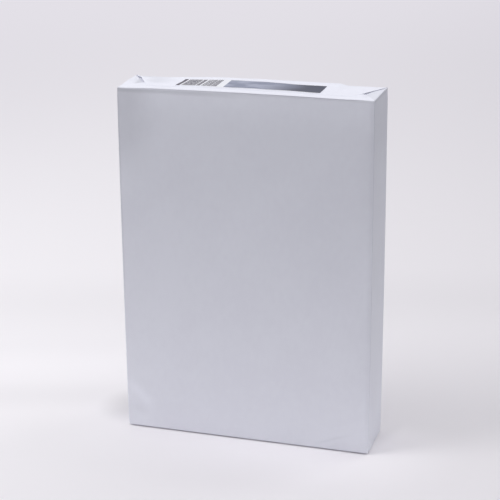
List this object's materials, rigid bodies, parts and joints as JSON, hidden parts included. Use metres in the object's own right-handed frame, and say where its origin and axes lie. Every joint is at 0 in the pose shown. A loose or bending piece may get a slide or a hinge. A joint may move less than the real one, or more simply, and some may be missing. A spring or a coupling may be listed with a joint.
{
  "type": "ream of paper",
  "caption": "Sealed pack of copy paper in a plain white wrap, glued folds at both short ends and a printed label on the upper one.",
  "frame": {"origin": "centre of the base, on the surface that the pack stands on", "axes": "+X along the sheet's width, +Y through the stack from the large front face to the back, +Z along the sheet's length, up to the end with the label"},
  "size_m": [0.2122, 0.0513, 0.3006],
  "materials": {
    "wrap_paper": "satin",
    "label_paper": "satin",
    "slate_ink": "satin",
    "bar_ink": "satin"
  },
  "bodies": {
    "root": {"wrapped_ream": "wrap_paper", "end_label": "label_paper", "label_print_field": "slate_ink", "label_print_bars": "bar_ink"}
  },
  "joints": []
}
